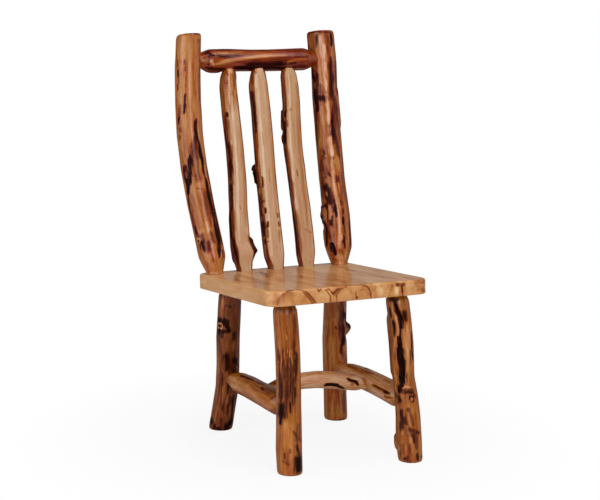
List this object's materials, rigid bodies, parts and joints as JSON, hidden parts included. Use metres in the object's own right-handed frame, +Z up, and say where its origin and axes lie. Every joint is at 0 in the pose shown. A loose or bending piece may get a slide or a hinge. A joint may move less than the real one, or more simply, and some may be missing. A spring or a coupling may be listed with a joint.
{
  "type": "twig chair",
  "caption": "Rustic side chair of naturally bent peeled poles, with a thick plank seat, flat-sawn back spindles under a log rail, and an arched cross stretcher.",
  "frame": {"origin": "on the ground, under the middle of the whole chair's footprint box", "axes": "+Z up; the sitter faces -Y; +X is to the right of someone who stands in front and looks at the chair"},
  "size_m": [0.4908, 0.6522, 1.0896],
  "materials": {
    "peeled_pole": "clear gloss lacquer over peeled wood with dark bark streaks",
    "dark_pole": "clear gloss lacquer over dark red-brown twisted grain",
    "sawn_spindle": "satin lacquer on a pale sawn face with a dark bark-side edge",
    "seat_plank": "clear gloss lacquer on glued-up boards"
  },
  "bodies": {
    "root": {"leg_front_left": "peeled_pole", "leg_front_right": "peeled_pole", "leg_back_left": "peeled_pole", "leg_back_right": "peeled_pole", "back_post_left": "peeled_pole", "back_post_right": "peeled_pole", "top_rail": "dark_pole", "back_spindle_left": "sawn_spindle", "back_spindle_middle": "sawn_spindle", "back_spindle_right": "sawn_spindle", "side_stretcher_left": "peeled_pole", "side_stretcher_right": "peeled_pole", "cross_stretcher": "peeled_pole", "seat_board_1": "seat_plank", "seat_board_2": "seat_plank", "seat_board_3": "seat_plank", "seat_board_4": "seat_plank"}
  },
  "joints": []
}
